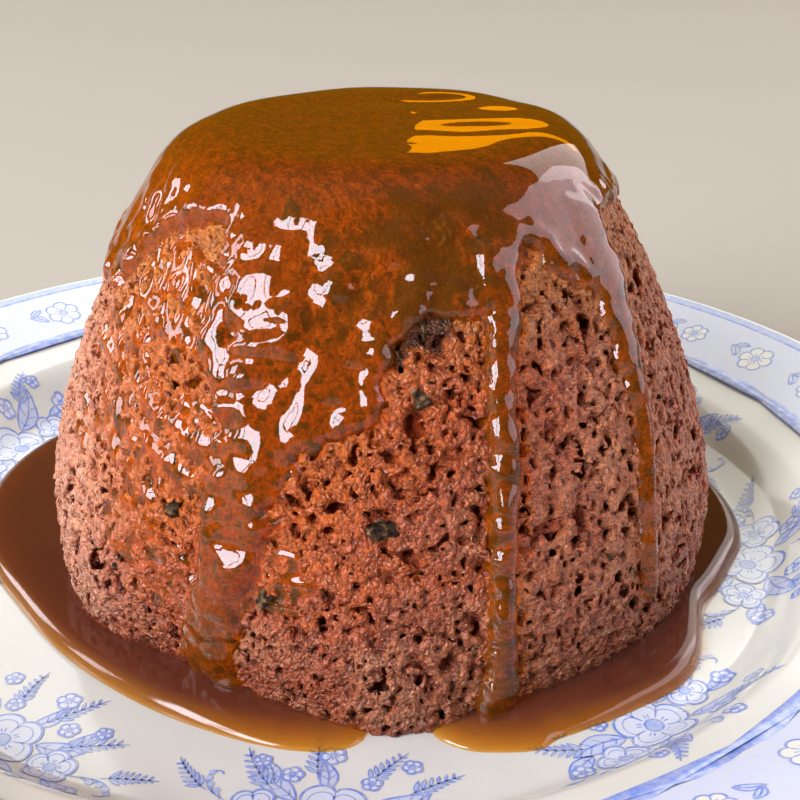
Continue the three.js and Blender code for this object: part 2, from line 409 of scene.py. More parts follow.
for k in range(RIM_FLOWERS):
    direction = 360 / RIM_FLOWERS * k
    leaf((direction + 2.6, 76.4, 40, 1.0, 1), 3.2, 2)
    leaf((direction + 2.4, 79.6, -30, 1.0, 1), 2.8, 2)
    flower((direction, 77.6, 17 * k, 1.0, 2), 6, 2.9 if k % 2 else 2.2, False, "cream")


def print_material():
    # Cobalt transfer under a clear glaze: the print has no edge of its own and shines
    # exactly as the bare glaze does.
    material, tree = new_material("cobalt_transfer_print")
    coords = add(tree, "TexCoord").outputs["Object"]
    ink = add(tree, "Attribute", attribute_name="ink")
    uneven = add(tree, "TexNoise", {"Vector": coords, "Scale": 1 / (1.1 * MM), "Detail": 3.0})
    worn = add(tree, "MapRange", {"Value": uneven.outputs["Fac"], "From Min": 0.35,
                                  "From Max": 0.7, "To Min": 0.0, "To Max": 0.45})
    colour = add(tree, "Mix", worn, ink.outputs["Color"], linear(GLAZE_WHITE), data_type="RGBA")
    shader = add(tree, "BsdfPrincipled", {"Base Color": colour, "Roughness": 0.12, "IOR": 1.5})
    add(tree, "OutputMaterial", {"Surface": shader.outputs["BSDF"]})
    return material


transfer = mesh_piece("blue_transfer", ink_points, ink_faces, print_material())
ink_layer = transfer.data.color_attributes.new("ink", "FLOAT_COLOR", "POINT")
ink_layer.data.foreach_set("color", np.array(ink_colours, np.float32).ravel())
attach(transfer, "root")

# ---------------------------------------------------------------------------
# Pudding: dark sponge, steamed in a small basin and turned out, so it keeps the
# basin's outline. Its crumb is open: bubbles of all sizes are cut through at the
# skin. It is grown as a solid field of bubbles and meshed, like real crumb.
# ---------------------------------------------------------------------------

PUDDING_X = 7 * MM
BASE_Z = WELL_Z
TOP_HEIGHT = 57.9 * MM
SHOULDER = 8 * MM            # how softly the side turns into the top
BASIN_HEIGHT = 62 * MM       # end of the basin's curve, which is carried on past the shoulder
BASIN_WIDEST = 50 * MM
# Inside of the basin: height and radius in mm.
BASIN_SIDE = [(0, 42.3), (10, 43.6), (22.5, 41.4), (34.5, 37.4), (46, 31.9), (52, 28.1),
              (57, 24.6), (62, 20.6)]
# Waves all round: how many, depth as a part of the radius, start, turn per metre of height.
CRUMB_WAVES = [(2, 0.010, 0.6, 0), (5, 0.008, 1.9, 71), (9, 0.005, 0.0, -143)]
# Swells and dents of the base, round this radius: direction, reach and depth.
LUMP_RADIUS = 42 * MM
BASE_LUMPS = [(-88, 8 * MM, 3.2 * MM), (-124, 11 * MM, -2.4 * MM), (-45, 13 * MM, 0.9 * MM)]
BUBBLE_DEPTH = 2.6 * MM
SPONGE_TRIANGLES = 196000
SPONGE_VOXEL = 0.38 * MM
SPONGE_REACH = 48 * MM       # half the box that the crumb is grown in
SPONGE_LAP = 0.5 * MM        # how far each half goes on past the middle


def node_group(name, sizes):
    """A Geometry Nodes tree with geometry in and out and named number inputs."""
    tree = bpy.data.node_groups.new(name, "GeometryNodeTree")
    tree.interface.new_socket("Geometry", in_out="INPUT", socket_type="NodeSocketGeometry")
    for size in sizes:
        tree.interface.new_socket(size, in_out="INPUT", socket_type="NodeSocketFloat")
    tree.interface.new_socket("Geometry", in_out="OUTPUT", socket_type="NodeSocketGeometry")
    return tree, add(tree, "NodeGroupInput"), add(tree, "NodeGroupOutput")


def grown_mesh(name, seed_mesh, tree, sizes):
    """Runs a Geometry Nodes tree on a mesh and returns the plain result."""
    holder = bpy.data.objects.new(name, seed_mesh)
    bpy.context.scene.collection.objects.link(holder)
    modifier = holder.modifiers.new(name, "NODES")
    modifier.node_group = tree
    for item in tree.interface.items_tree:
        if item.in_out == "INPUT" and item.name in sizes:
            modifier[item.identifier] = sizes[item.name]
    graph = bpy.context.evaluated_depsgraph_get()
    made = bpy.data.meshes.new_from_object(holder.evaluated_get(graph), depsgraph=graph,
                                           preserve_all_data_layers=True)
    bpy.data.objects.remove(holder)
    return made


def below_skin(tree, position):
    """Depth of a place under the basin's smooth skin, in metres, negative outside it."""
    local = add(tree, "SeparateXYZ",
                {"Vector": add(tree, "VectorMath.SUBTRACT", position, (PUDDING_X, 0, BASE_Z))})
    x, y, height = local.outputs
    turn = add(tree, "Math.ARCTAN2", y, x)
    radius = add(tree, "Math.SQRT",
                 add(tree, "Math.ADD", add(tree, "Math.MULTIPLY", x, x),
                     add(tree, "Math.MULTIPLY", y, y)))
    side = add(tree, "FloatCurve", {"Value": add(tree, "Math.DIVIDE", height, BASIN_HEIGHT)})
    curve = side.mapping.curves[0]
    for _ in range(len(BASIN_SIDE) - 2):
        curve.points.new(0.5, 0.5)
    for point, (up, out) in zip(curve.points, BASIN_SIDE):
        point.location = (up * MM / BASIN_HEIGHT, out * MM / BASIN_WIDEST)
    side.mapping.update()
    wall = add(tree, "Math.MULTIPLY", side, BASIN_WIDEST)
    waves = 1.0
    for count, depth, start, climb in CRUMB_WAVES:
        phase = add(tree, "Math.ADD", add(tree, "Math.MULTIPLY_ADD", turn, count, start),
                    add(tree, "Math.MULTIPLY", height, climb))
        waves = add(tree, "Math.MULTIPLY_ADD", add(tree, "Math.SINE", phase), depth, waves)
    wall = add(tree, "Math.MULTIPLY", wall, waves)
    for direction, reach, depth in BASE_LUMPS:
        a = math.radians(direction)
        middle = (PUDDING_X + LUMP_RADIUS * math.cos(a), LUMP_RADIUS * math.sin(a), BASE_Z)
        away = add(tree, "VectorMath.DISTANCE", position, middle)
        fade = add(tree, "Math.MULTIPLY",
                   add(tree, "Math.POWER", add(tree, "Math.DIVIDE", away, reach), 2), -1.0)
        wall = add(tree, "Math.MULTIPLY_ADD", add(tree, "Math.EXPONENT", fade), depth, wall)
    to_side = add(tree, "Math.MULTIPLY", add(tree, "Math.SUBTRACT", wall, radius), 0.9)
    to_top = add(tree, "Math.SUBTRACT", TOP_HEIGHT, height)
    return add(tree, "Math.SMOOTH_MIN", to_side, to_top, SHOULDER)


def bubbles(tree, position, radius, spacing, share, stretch):
    """How far inside a bubble a place is: balls in some cells of a Voronoi pattern."""
    squashed = add(tree, "VectorMath.MULTIPLY", position, stretch)
    cells = add(tree, "TexVoronoi",
                {"Vector": squashed, "Scale": add(tree, "Math.DIVIDE", 1.0, spacing)},
                feature="F1")
    draw = add(tree, "FunctionNodeSeparateColor", {"Color": cells.outputs["Color"]})
    distance = add(tree, "Math.MULTIPLY", cells.outputs["Distance"], spacing)
    grow = add(tree, "MapRange", {"Value": draw.outputs["Red"], "From Min": 1 - share,
                                  "From Max": 1.0, "To Min": 0.4, "To Max": 1.0})
    alive = add(tree, "Math.GREATER_THAN", draw.outputs["Red"], 1 - share)
    reach = add(tree, "Math.MULTIPLY", add(tree, "Math.MULTIPLY", radius, grow), alive)
    return add(tree, "Math.SUBTRACT", reach, distance)


def pushed(tree, position, spacing, amount):
    """Moves places about by a smooth noise, so that no ball stays a true ball."""
    noise = add(tree, "TexNoise", {"Vector": position, "Scale": 1 / spacing, "Detail": 0.0})
    centred = add(tree, "VectorMath.SUBTRACT", noise.outputs["Color"], (0.5, 0.5, 0.5))
    push = add(tree, "VectorMath.SCALE", centred, amount)
    return add(tree, "VectorMath.ADD", position, push)


def crumb_tree(material):
    tree, given, result = node_group(
        "steamed_crumb", ["Voxel", "Big Bubble", "Middle Bubble", "Small Bubble", "Near", "Far"])
    position = add(tree, "GeometryNodeInputPosition").outputs["Position"]
    depth = below_skin(tree, position)
    # Rising batter pushes the bubbles about.
    bent = pushed(tree, pushed(tree, position, 3.0 * MM, 1.9 * MM), 1.1 * MM, 0.7 * MM)
    hollow = None
    for size, spread, share, stretch in (("Big Bubble", 2.9, 0.45, (1, 1, 0.9)),
                                         ("Middle Bubble", 2.2, 0.76, (1, 1, 1.1)),
                                         ("Small Bubble", 2.0, 0.84, (1, 1, 1))):
        spacing = add(tree, "Math.MULTIPLY", given.outputs[size], spread)
        hole = bubbles(tree, bent, given.outputs[size], spacing, share, stretch)
        hollow = hole if hollow is None else add(tree, "Math.SMOOTH_MAX", hollow, hole, 0.2 * MM)
    # The skin itself is uneven where it tore from the basin.
    rough = add(tree, "TexNoise", {"Vector": position, "Scale": 1 / (2.2 * MM), "Detail": 2.0,
                                   "Roughness": 0.6})
    torn = add(tree, "Math.MULTIPLY", add(tree, "Math.SUBTRACT", rough.outputs["Fac"], 0.40),
               1.4 * MM)
    ragged = add(tree, "Math.SUBTRACT", depth, add(tree, "Math.SMOOTH_MAX", torn, 0.0, 0.2 * MM))
    # Swollen flour has drawn together in beads, which stand out from the creases round them.
    beads = add(tree, "TexVoronoi", {"Vector": bent, "Scale": 1 / (1.2 * MM)}, feature="F1")
    dome = add(tree, "Math.POWER", beads.outputs["Distance"], 2.0)
    ragged = add(tree, "Math.MULTIPLY_ADD", dome, -0.7 * MM, ragged)
    # Under the sauce on top the crust is closer.
    up = add(tree, "SeparateXYZ", {"Vector": position}).outputs["Z"]
    open_depth = add(tree, "MapRange",
                     {"Value": up, "From Min": BASE_Z + 42 * MM, "From Max": BASE_Z + 50 * MM,
                      "To Min": BUBBLE_DEPTH, "To Max": 0.9 * MM})
    kept = add(tree, "Math.MAXIMUM", add(tree, "Math.MULTIPLY", hollow, -1.0),
               add(tree, "Math.SUBTRACT", depth, open_depth))
    solid = add(tree, "Math.SMOOTH_MIN", ragged, kept, 0.35 * MM)
    solid = add(tree, "Math.MINIMUM", solid, add(tree, "Math.SUBTRACT", up, BASE_Z))
    voxel = given.outputs["Voxel"]
    density = add(tree, "Math.MULTIPLY_ADD", add(tree, "Math.DIVIDE", solid, voxel), 0.16, 0.5)
    density = add(tree, "Math.MAXIMUM", add(tree, "Math.MINIMUM", density, 1.0), 0.0)
    near, far = given.outputs["Near"], given.outputs["Far"]
    low = add(tree, "CombineXYZ", PUDDING_X - SPONGE_REACH, near, BASE_Z - 1 * MM)
    high = add(tree, "CombineXYZ", PUDDING_X + SPONGE_REACH, far, BASE_Z + 60 * MM)
    deep = add(tree, "Math.SUBTRACT", far, near)
    counts = [add(tree, "Math.DIVIDE", size, voxel) for size in (2 * SPONGE_REACH, deep, 61 * MM)]
    cube = add(tree, "GeometryNodeVolumeCube",
               {"Density": density, "Min": low, "Max": high, "Resolution X": counts[0],
                "Resolution Y": counts[1], "Resolution Z": counts[2]})
    meshed = add(tree, "GeometryNodeVolumeToMesh", {"Volume": cube, "Threshold": 0.5})
    # Bubbles that never reach the skin come out as loose shells: only the sponge is kept.
    island = add(tree, "GeometryNodeInputMeshIsland")
    count = add(tree, "GeometryNodeAccumulateField",
                {"Value": 1.0, "Group ID": island.outputs["Island Index"]})
    biggest = add(tree, "GeometryNodeAttributeStatistic",
                  {"Geometry": meshed.outputs["Mesh"], "Attribute": count.outputs["Total"]})
    loose = add(tree, "Math.LESS_THAN", count.outputs["Total"],
                add(tree, "Math.SUBTRACT", biggest.outputs["Max"], 0.5))
    sponge = add(tree, "GeometryNodeDeleteGeometry",
                 {"Geometry": meshed.outputs["Mesh"], "Selection": loose})
    stored = add(tree, "GeometryNodeStoreNamedAttribute",
                 {"Geometry": sponge, "Name": "depth",
                  "Value": add(tree, "Math.MULTIPLY", depth, 1 / MM)}, data_type="FLOAT")
    coloured = add(tree, "GeometryNodeSetMaterial", {"Geometry": stored, "Material": material})
    tree.links.new(coloured.outputs[0], result.inputs[0])
    return tree


def crumb_material():
    # Moist dark sponge: beads of crumb with fine pores between the bubbles. Where sauce
    # has soaked in it is more orange and glistens; dry crumb is pinkish and dull.
    material, tree = new_material("steamed_sponge")
    coords = add(tree, "TexCoord").outputs["Object"]
    depth = add(tree, "Attribute", attribute_name="depth")
    place = add(tree, "SeparateXYZ", {"Vector": coords})
    patches = add(tree, "TexNoise", {"Vector": coords, "Scale": 1 / (7 * MM), "Detail": 3.0})
    high = add(tree, "MapRange", {"Value": place.outputs["Z"], "From Min": 16 * MM,
                                  "From Max": 40 * MM})
    left = add(tree, "MapRange", {"Value": place.outputs["X"], "From Min": 32 * MM,
                                  "From Max": -24 * MM})
    soaked = add(tree, "Math.MULTIPLY", left, add(tree, "Math.MULTIPLY_ADD", high, 1.4, 0.3))
    soaked = add(tree, "Math.MULTIPLY_ADD",
                 add(tree, "Math.SUBTRACT", patches.outputs["Fac"], 0.5), 1.1, soaked)
    skin = ramp_stops(add(tree, "ValToRGB", {"Fac": soaked}),
                      [(0.0, "#bd7850"), (0.22, "#ab5c38"), (0.46, "#b25726"), (1.0, "#b66026")])
    # Far round to the left it is paler: a painted sheen, standing in for the haze of small
    # highlights there.
    pale = add(tree, "MapRange", {"Value": place.outputs["X"], "From Min": PUDDING_X - 26 * MM,
                                  "From Max": PUDDING_X - 39 * MM, "To Min": 0.0, "To Max": 0.85},
               interpolation_type="SMOOTHSTEP")
    skin = add(tree, "Mix", pale, skin.outputs["Color"], linear("#d89c7a"), data_type="RGBA")
    # Syrup has turned it golden high up.
    golden = add(tree, "MapRange", {"Value": place.outputs["Z"], "From Min": BASE_Z + 36 * MM,
                                    "From Max": BASE_Z + 48 * MM, "To Min": 0.0, "To Max": 0.55},
                 interpolation_type="SMOOTHSTEP")
    skin = add(tree, "Mix", golden, skin, linear("#bc7c30"), data_type="RGBA")
    # Deeper in the bubbles the colour turns darker and redder: painted shade, with a painted red
    # glow of light through the thin crumb walls.
    shade = add(tree, "MapRange", {"Value": depth.outputs["Fac"], "From Min": 0.2,
                                   "From Max": 1.9})
    inside = ramp_stops(add(tree, "ValToRGB", {"Fac": soaked}),
                        [(0.0, "#903e26"), (1.0, "#983a0c")])
    colour = add(tree, "Mix", shade, skin, inside.outputs["Color"], data_type="RGBA")
    bend = add(tree, "TexNoise", {"Vector": coords, "Scale": 1 / (0.9 * MM), "Detail": 2.0})
    bent = add(tree, "VectorMath.MULTIPLY_ADD", bend.outputs["Color"],
               (0.9 * MM, 0.9 * MM, 0.9 * MM), coords)
    beads = add(tree, "TexVoronoi", {"Vector": bent, "Scale": 1 / (0.6 * MM)}, feature="F1")
    grit = add(tree, "TexNoise", {"Vector": coords, "Scale": 1 / (0.6 * MM), "Detail": 3.0,
                                  "Roughness": 0.65})
    open_pore = 0.0
    for spacing, widest_pore in ((1.0, 0.42), (0.55, 0.40)):
        pores = add(tree, "TexVoronoi", {"Vector": bent, "Scale": 1 / (spacing * MM)},
                    feature="F1")
        draw = add(tree, "SeparateColor", {"Color": pores.outputs["Color"]})
        reach = add(tree, "MapRange", {"Value": draw.outputs["Red"], "From Min": 0.3,
                                       "From Max": 1.0, "To Min": 0.0, "To Max": widest_pore})
        rim = add(tree, "Math.SUBTRACT", pores.outputs["Distance"], reach)
        hole = add(tree, "MapRange", {"Value": rim, "From Min": -0.16, "From Max": 0.06,
                                      "To Min": 1.0, "To Max": 0.0},
                   interpolation_type="SMOOTHSTEP")
        open_pore = add(tree, "Math.MAXIMUM", open_pore, hole)
    # Each bead has its own random tone, and is darker towards the creases at its edge: painted
    # shade.
    bead_tint = add(tree, "SeparateColor", {"Color": beads.outputs["Color"]})
    light = add(tree, "Math.MULTIPLY_ADD", bead_tint.outputs["Green"], 0.5, 0.76)
    light = add(tree, "Math.MULTIPLY_ADD", beads.outputs["Distance"], -0.25, light)
    # Painted shade: the crumb is darker towards its base, where less light reaches it.
    painted_base_shade = add(tree, "MapRange", {"Value": place.outputs["Z"], "From Min": 4 * MM,
                                  "From Max": 30 * MM, "To Min": 0.64, "To Max": 1.0},
               interpolation_type="SMOOTHSTEP")
    light = add(tree, "Math.MULTIPLY", light, painted_base_shade)
    # High on the front the batter is darkest: chopped fruit and syrup lie there together.
    far = add(tree, "VectorMath.DISTANCE", bent, (PUDDING_X + 7 * MM, -28 * MM, 58 * MM))
    clumps = add(tree, "TexNoise", {"Vector": coords, "Scale": 1 / (5 * MM), "Detail": 2.0})
    far = add(tree, "Math.MULTIPLY_ADD", add(tree, "Math.SUBTRACT", clumps.outputs["Fac"], 0.5),
              36 * MM, far)
    logged = add(tree, "MapRange", {"Value": far, "From Min": 5 * MM, "From Max": 10 * MM,
                                    "To Min": 0.16, "To Max": 1.0},
                 interpolation_type="SMOOTHSTEP")
    light = add(tree, "Math.MULTIPLY", light, logged)
    beaded = add(tree, "VectorMath.SCALE", colour, light)
    # The fine pores are coloured dark: painted shade in holes too small to be modelled.
    mixed = add(tree, "Mix", add(tree, "Math.MULTIPLY", open_pore, 0.85), beaded,
                linear("#682a18"), data_type="RGBA")
    gloss = add(tree, "MapRange", {"Value": soaked, "From Min": 0.2, "From Max": 0.9,
                                   "To Min": 0.34, "To Max": 0.12})
    level = add(tree, "Math.MULTIPLY_ADD", beads.outputs["Distance"], -1.8,
                add(tree, "Math.MULTIPLY", open_pore, -1.3))
    level = add(tree, "Math.MULTIPLY_ADD", grit.outputs["Fac"], 1.0, level)
    bump = add(tree, "Bump", {"Height": level, "Strength": 1.0, "Distance": 0.3 * MM})
    shader = add(tree, "BsdfPrincipled",
                 {"Base Color": mixed, "Roughness": gloss, "IOR": 1.47, "Subsurface Weight": 0.4,
                  "Subsurface Radius": (1.0, 0.3, 0.12), "Subsurface Scale": 1.4 * MM,
                  "Specular IOR Level": 0.44, "Normal": bump.outputs["Normal"]})
    add(tree, "OutputMaterial", {"Surface": shader.outputs["BSDF"]})
    return material


def sponge_half(name, near, far):
    """The crumb between two upright planes, as one closed piece of many small faces."""
    sizes = {"Voxel": SPONGE_VOXEL, "Big Bubble": 1.3 * MM, "Middle Bubble": 0.75 * MM,
             "Small Bubble": 0.48 * MM, "Near": near, "Far": far}
    crumb = grown_mesh("crumb", bpy.data.meshes.new("batter"), sponge_growth, sizes)
    half = bpy.data.objects.new(name, crumb)
    bpy.context.scene.collection.objects.link(half)
    thin = half.modifiers.new("thin", "DECIMATE")
    thin.ratio = min(1.0, SPONGE_TRIANGLES / (2 * len(crumb.polygons)))
    graph = bpy.context.evaluated_depsgraph_get()
    half.data = bpy.data.meshes.new_from_object(half.evaluated_get(graph), depsgraph=graph,
                                                preserve_all_data_layers=True)
    half.modifiers.clear()
    half.data.name = name
    half.data.shade_smooth()
    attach(half, "root")
    return half


# So fine a crumb is too heavy for one piece, so it is made in two that meet inside.
sponge_growth = crumb_tree(crumb_material())
sponge_front = sponge_half("pudding_sponge_front", -SPONGE_REACH, SPONGE_LAP)
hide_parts("pudding")
sponge_back = sponge_half("pudding_sponge_back", -SPONGE_LAP, SPONGE_REACH)
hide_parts("pudding")

# ---------------------------------------------------------------------------
# Sauce coat: warm toffee sauce poured over the top. It lies level on the top, hangs
# over the shoulder in a thin sheet, and runs down the sides in ropes that follow
# the crumb. Its inner face is buried in the sponge, so it fills the open bubbles.
# ---------------------------------------------------------------------------

SAUCE_AROUND = 400
SAUCE_STEP = 0.55 * MM
BURIED = -3.5 * MM           # how far the coat's inner face lies under the skin
EDGE_FALL = 3.0              # how steeply the sauce dives into the crumb past its edge
SIDE_RADIUS = 36 * MM        # of the pudding half way up

# Lower edge of the coat all round: direction and height above the pudding's base in mm.
COAT_EDGE = [(-180, 44), (-165, 41.5), (-156, 43), (-148, 48), (-140, 51), (-131, 52.5),
             (-125, 50.5), (-119, 44), (-114, 35), (-109, 25), (-106, 27), (-103, 31.5),
             (-95, 33.5), (-90, 37), (-87, 42), (-81, 45.5), (-72, 44.5), (-66, 45.5),
             (-60, 49.5), (-54, 50.5), (-48, 47), (-41, 45.5), (-33, 48), (-24, 51), (-10, 50),
             (0, 50), (30, 46), (55, 51), (85, 45), (110, 50), (140, 42)]

# Ropes of sauce: places as direction and height, half width along them, thickness, and
# for one how much steeper its left side is.
ROPES = [
    ([(-120, 55), (-115, 52), (-111, 47), (-110.5, 42), (-111.5, 37), (-110, 33), (-112, 26.5),
      (-113, 20), (-115, 14.5), (-117, 9), (-119, 3)],
     [3.0, 4.6, 4.2, 4.4, 4.2, 4.4, 4.6, 3.8, 3.4, 3.4, 4.2], 1.15 * MM),
    ([(-122, 47), (-121, 42), (-118, 38), (-115, 35.5)], [1.5, 1.9, 1.5, 1.3], 0.9 * MM),
    ([(-64, 50), (-65, 44), (-68, 37), (-69.5, 26), (-71, 15.6), (-71.5, 8), (-71.5, 2)],
     [2.6, 2.0, 1.7, 1.6, 1.4, 1.8, 2.6], 1.35 * MM, 1.5),
    ([(-34, 52), (-36, 44), (-38, 37.5), (-39, 29), (-41, 22), (-42, 15), (-42, 9)],
     [3.4, 2.5, 1.6, 1.2, 1.0, 0.9, 0.7], 1.0 * MM),
    ([(40, 51), (41, 40), (43, 27), (43, 14)], [3.2, 2.4, 2.0, 1.6], 1.0 * MM),
    ([(95, 51), (94, 38), (92, 24), (92, 12), (92, 2)], [4.4, 3.6, 3.0, 2.6, 3.2], 1.1 * MM),
    ([(152, 51), (154, 40), (156, 28), (156, 19)], [3.2, 2.8, 2.4, 1.9], 1.0 * MM),
]


def smooth_low(a, b, reach):
    """The lower of two fields, blended where they are within reach of each other."""
    near = np.maximum(reach - np.abs(a - b), 0.0) / reach
    return np.minimum(a, b) - near ** 3 * reach / 6.0


def skin_depth(points):
    """The same depth under the smooth skin as the crumb is grown from."""
    local = points - np.array([PUDDING_X, 0, BASE_Z])
    x, y, height = local[..., 0], local[..., 1], local[..., 2]
    turn = np.arctan2(y, x)
    wall = BASIN_WIDEST * np.interp(height / BASIN_HEIGHT, side_table[0], side_table[1])
    waves = 1.0
    for count, depth, start, climb in CRUMB_WAVES:
        waves = waves + depth * np.sin(count * turn + start + climb * height)
    wall = wall * waves
    for direction, reach, depth in BASE_LUMPS:
        a = math.radians(direction)
        middle = np.array([LUMP_RADIUS * math.cos(a), LUMP_RADIUS * math.sin(a), 0])
        away = np.linalg.norm(local - middle, axis=-1)
        wall = wall + depth * np.exp(-(away / reach) ** 2)
    return smooth_low(0.9 * (wall - np.hypot(x, y)), TOP_HEIGHT - height, SHOULDER)


def reach_skin(start, way):
    """How far along each way from a start inside the pudding its skin lies."""
    near = np.zeros(way.shape[:-1])
    far = near + 80 * MM
    for _ in range(26):
        half = (near + far) / 2
        inside = skin_depth(start + half[..., None] * way) > 0
        near = np.where(inside, half, near)
        far = np.where(inside, far, half)
    return start + near[..., None] * way


def side_points(places):
    """Points on the skin at directions in degrees and heights in mm above the base."""
    turn = np.radians([p[0] for p in places])
    way = np.stack([np.cos(turn), np.sin(turn), np.zeros(len(turn))], -1)
    start = np.array([[PUDDING_X, 0, BASE_Z + p[1] * MM] for p in places])
    return reach_skin(start, way)


def drawn_through(values, count):
    """Catmull-Rom values through a list of rows."""
    rows = np.asarray(values, float)
    rows = np.vstack([2 * rows[0] - rows[1], rows, 2 * rows[-1] - rows[-2]])
    t = np.linspace(0, len(rows) - 3 - 1e-9, count)
    i = t.astype(int)
    f = (t - i)[:, None]
    a, b, c, d = (rows[i + k] for k in range(4))
    return 0.5 * (2 * b + (c - a) * f + (2 * a - 5 * b + 4 * c - d) * f ** 2
                  + (3 * b - a - 3 * c + d) * f ** 3)


def ripples(points, length, seed):
    """Smooth random waves of about one length, between about -1 and 1."""
    random = np.random.default_rng(seed)
    total = np.zeros(points.shape[:-1])
    for _ in range(18):
        way = random.normal(size=3)
        way *= 2 * math.pi / (length * random.uniform(0.7, 1.5)) / np.linalg.norm(way)
        total += np.sin(points @ way + random.uniform(0, 2 * math.pi))
    return total / 5.0


def nearest(points, line):
    """Distance from each point to the nearest of a line's points, and which one that is."""
    tree = mathutils.kdtree.KDTree(len(line))
    for i, place in enumerate(line):
        tree.insert(place, i)
    tree.balance()
    found = [tree.find(p) for p in points.reshape(-1, 3)]
    away = np.array([f[2] for f in found]).reshape(points.shape[:-1])
    index = np.array([f[1] for f in found]).reshape(points.shape[:-1])
    return away, index


def rounded(inside, thickness, width):
    """Height of a drop of sauce over its own width, diving under the skin past its edge."""
    t = np.clip(inside / width, 0, 1)
    return np.where(inside > 0, thickness * np.sqrt(1 - (1 - t) ** 2), EDGE_FALL * inside)


def smooth_high(a, b, reach):
    return -smooth_low(-a, -b, reach)


def sauce_grid():
    """Skin points from the top's middle to the base, evenly spaced, and their normals."""
    start = np.array([PUDDING_X, 0, BASE_Z])
    fine = np.linspace(0, math.pi / 2, 400)
    test = reach_skin(start, np.stack([np.sin(fine), 0 * fine, np.cos(fine)], -1))
    run = np.concatenate([[0], np.cumsum(np.linalg.norm(np.diff(test, axis=0), axis=1))])
    rows = int(run[-1] / SAUCE_STEP)
    tilt = np.interp(np.linspace(SAUCE_STEP, run[-1], rows), run, fine)
    turn = np.arange(SAUCE_AROUND) * 2 * math.pi / SAUCE_AROUND
    tilt, turn = np.meshgrid(tilt, turn, indexing="ij")
    way = np.stack([np.sin(tilt) * np.cos(turn), np.sin(tilt) * np.sin(turn), np.cos(tilt)], -1)
    points = reach_skin(start, way)
    down = np.gradient(points, axis=0)
    side = np.roll(points, -1, 1) - np.roll(points, 1, 1)
    normal = np.cross(down, side)
    return points, normal / np.linalg.norm(normal, axis=-1, keepdims=True)


def sauce_thickness(points):
    """Height of the sauce over each skin point, with the point's direction and height."""
    local = points - np.array([PUDDING_X, 0, BASE_Z])
    angle = np.degrees(np.arctan2(local[..., 1], local[..., 0]))
    height = local[..., 2]
    ring = COAT_EDGE + [(COAT_EDGE[0][0] + 360, COAT_EDGE[0][1])]
    edge = drawn_through(ring, 900)
    wobble = ripples(points, 3.2 * MM, 11)
    away, _ = nearest(points, side_points(edge))
    level = np.interp(angle, edge[:, 0], edge[:, 1], period=360) * MM
    inside = np.where(height > level, away, -away) + 0.7 * MM * wobble
    upper = smoothstep(50 * MM, 57 * MM, height)
    sheet = 0.45 * MM + 0.5 * MM * upper
    # It gathers in a rounded lip just behind its edge.
    sheet = sheet + 0.4 * MM * np.exp(-((inside - 1.5 * MM) / (1.1 * MM)) ** 2)
    sauce = rounded(inside, sheet, 1.6 * MM)
    for places, widths, thickness, *lean in ROPES:
        line = drawn_through([(a, h, w) for (a, h), w in zip(places, widths)], 160)
        away, index = nearest(points, side_points(line))
        half = line[index, 2] * MM
        inside = half * (1 + 0.16 * wobble) - away
        if lean:
            # It is steep at its left and slopes away to its right.
            right = np.radians(angle - line[index, 0]) * SIDE_RADIUS / half
            steep = 1 + lean[0] * (1 - smoothstep(-0.3, 0.3, right))
            inside = np.where(inside > 0, inside * steep, inside)
        sauce = smooth_high(sauce, rounded(inside, thickness, half), 0.7 * MM)
    return sauce, angle, height


def sheet_faces(kept):
    """Both faces of a sheet on a closed ring of columns, and a wall along its open edges."""
    rows, columns = kept.shape
    number = np.arange(rows * columns).reshape(rows, columns)
    other = number + rows * columns
    faces = []
    cell = kept[:-1] & kept[1:] & np.roll(kept, -1, 1)[:-1] & np.roll(kept, -1, 1)[1:]
    for r, c in zip(*np.nonzero(cell)):
        d = (c + 1) % columns
        a, b, e, f = number[r, c], number[r + 1, c], number[r + 1, d], number[r, d]
        faces.append((a, b, e, f))
        faces.append((other[r, c], other[r, d], other[r + 1, d], other[r + 1, c]))
        if r == rows - 2 or not cell[r + 1, c]:
            faces.append((b, other[r + 1, c], other[r + 1, d], e))
        if r > 0 and not cell[r - 1, c]:
            faces.append((f, other[r, d], other[r, c], a))
        if not cell[r, c - 1]:
            faces.append((a, other[r, c], other[r + 1, c], b))
        if not cell[r, d]:
            faces.append((e, other[r + 1, d], other[r, d], f))
    for c in range(columns):
        d = (c + 1) % columns
        faces.append((2 * rows * columns, number[0, c], number[0, d]))
        faces.append((2 * rows * columns + 1, other[0, d], other[0, c]))
    return faces


def sauce_material(name, clear_share, body, tint, density):
    # Butter, sugar and cream boiled to a toffee: it bends light like syrup, and is gold
    # where it is thin and brown where it is deep. Its own surface is mirror smooth.
    material, tree = new_material(name)
    glass = add(tree, "BsdfPrincipled",
                {"Base Color": linear(body), "Roughness": 0.02, "IOR": 1.47,
                 "Specular IOR Level": 0.8, "Transmission Weight": clear_share})
    clear = add(tree, "BsdfTransparent")
    path = add(tree, "LightPath")
    surface = add(tree, "MixShader", path.outputs["Is Shadow Ray"], glass, clear)
    depth = add(tree, "VolumeAbsorption", {"Color": linear(tint), "Density": density})
    add(tree, "OutputMaterial", {"Surface": surface, "Volume": depth})
    return material


crumb_curve = bpy.data.node_groups["steamed_crumb"].nodes["Float Curve"].mapping
side_table = [np.linspace(0, 1, 257)]
side_table.append(np.array([crumb_curve.evaluate(crumb_curve.curves[0], t)
                            for t in side_table[0]]))
skin, skin_normal = sauce_grid()
thickness, angle, height = sauce_thickness(skin)
